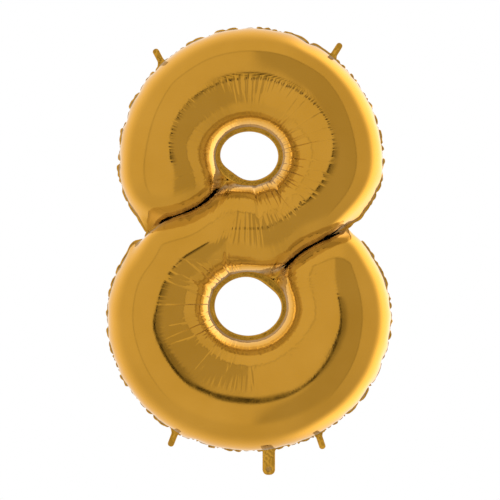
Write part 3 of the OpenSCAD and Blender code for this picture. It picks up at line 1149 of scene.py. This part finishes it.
def make_valve():
    """The two clear plies of the valve, crossing the neck's fold"""
    for name in ("valve_front_ply", "valve_back_ply"):
        low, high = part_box(name)
        rows = np.linspace(low.z, high.z, 60)
        steps = np.linspace(low.x, high.x, 7)
        middle = (low.y + high.y) / 2
        points = np.array([(x, middle, z) for z in rows for x in steps])
        faces = strip_faces(len(rows), len(steps), False)
        made = piece(name + "_film", points, faces, CLEAR, None, 0.12 * MM)
        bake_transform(made)
        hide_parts(name)


# -------- light and camera

# Brightness of the tent's wall, and what is taken from it or added to it by direction
WALL_LIGHT = 0.70
RIGHT_SHADE = 0.08
BEHIND_LIGHT = 0.32
RIGHT_BEHIND_LIGHT = 0.8
GROUND_SHADE = 0.08

# Brightness of the opening in front, and what its right half, its border and the gap lose
OPENING_LIGHT = 0.67
OPENING_RIGHT_SHADE = 0.20
BORDER_SHADE = 0.3
GAP_SHADE = 0.97
GAP_TAIL_SHADE = 0.5


def light_room():
    """A white studio tent. Its front is a wide, dimmer opening with narrow dark borders, its
    right wall is the brightest, and there is a dark gap in front of the balloon. Only the
    mirror film shows it: seen directly, everything round the balloon is plain white."""
    world = bpy.data.worlds.new("tent")
    world.use_nodes = True
    bpy.context.scene.world = world
    tree = world.node_tree
    calc, step = expression(tree)
    place = tree.nodes.new("ShaderNodeTexCoord")
    split = tree.nodes.new("ShaderNodeSeparateXYZ")
    tree.links.new(place.outputs["Generated"], split.inputs[0])
    x, y, z = split.outputs
    # Places on a plane at distance 1 in front: u to the right and v up
    ahead = calc("MAXIMUM", calc("MULTIPLY", y, -1.0), 0.02)
    u = calc("DIVIDE", x, ahead)
    v = calc("DIVIDE", z, ahead)
    wide = calc("ABSOLUTE", u)

    def times(*values):
        result = values[0]
        for value in values[1:]:
            result = calc("MULTIPLY", result, value)
        return result

    def without(share):
        return calc("SUBTRACT", 1.0, share)

    def band(value, start, full, last, end):
        """1 from full to last, falling to 0 at start and at end"""
        return times(step(value, start, full), step(value, end, last))

    right = step(x, 0.1, 0.6)
    wall = calc("SUBTRACT", WALL_LIGHT, times(right, RIGHT_SHADE))
    wall = calc("ADD", wall, times(step(y, -0.15, 0.7), BEHIND_LIGHT))
    wall = calc("ADD", wall, times(step(y, -0.1, 0.4), right, RIGHT_BEHIND_LIGHT))
    wall = calc("SUBTRACT", wall, times(step(z, -0.2, -0.8), GROUND_SHADE))
    front = calc("SUBTRACT", OPENING_LIGHT, times(step(u, -0.02, 0.08), OPENING_RIGHT_SHADE))
    inside_u = step(wide, 1.12, 1.06)
    inside_v = step(v, 1.24, 1.14)
    above_foot = step(v, -1.6, -0.8)
    opening = times(inside_u, inside_v, above_foot)
    light = calc("ADD", times(wall, without(opening)), times(front, opening))
    side_border = times(band(wide, 1.0, 1.09, 1.09, 1.18), inside_v)
    top_border = times(band(v, 1.08, 1.18, 1.18, 1.28), inside_u)
    border = times(calc("MAXIMUM", side_border, top_border), above_foot)
    light = times(light, without(times(border, BORDER_SHADE)))
    core = band(u, -0.05, -0.02, 0.015, 0.05)
    tail = band(u, -0.02, 0.0, 0.02, 0.3)
    gap = calc("MAXIMUM", times(core, GAP_SHADE), times(tail, GAP_TAIL_SHADE))
    gap = times(gap, band(v, -0.12, -0.04, 0.04, 0.12), step(y, 0.0, -0.1))
    light = times(light, without(gap))
    direct = add_node(tree, "ShaderNodeLightPath").outputs["Is Camera Ray"]
    light = calc("ADD", times(light, without(direct)), direct)
    background = tree.nodes["Background"]
    background.inputs["Color"].default_value = (1, 1, 1, 1)
    tree.links.new(light, background.inputs["Strength"])


VIEW_WIDTH = 1.1175
CAMERA_AWAY = 5.0


def place_camera():
    """Level with the middle of the balloon, from the front, through a long lens"""
    camera = bpy.data.cameras.new("camera")
    camera.lens = camera.sensor_width * CAMERA_AWAY / VIEW_WIDTH
    eye = bpy.data.objects.new("camera", camera)
    eye.location = (2 * MM, -CAMERA_AWAY, 1 * MM)
    eye.rotation_euler = (math.pi / 2, 0, 0)
    bpy.context.scene.collection.objects.link(eye)
    bpy.context.scene.camera = eye
    bpy.context.scene.view_settings.view_transform = "Standard"


# -------- the whole balloon


def main():
    place_camera()
    light_room()
    front, back, faces, chains, welded = make_films()
    make_edge_weld(front, back, faces, chains, welded)
    make_hole_weld("upper", chains["upper_rim"], front, UPPER_RIM, UPPER_RIM_SIZE)
    make_hole_weld("lower", chains["lower_rim"], front, LOWER_RIM, LOWER_RIM_SIZE)
    make_waist_weld("left", chains["left_seam"], front)
    make_waist_weld("right", chains["right_seam"], front)
    for seed, (name, twist) in enumerate(TAB_TWISTS.items()):
        make_tab(name, twist, 1.5 + seed)
    make_neck()
    make_valve()


main()
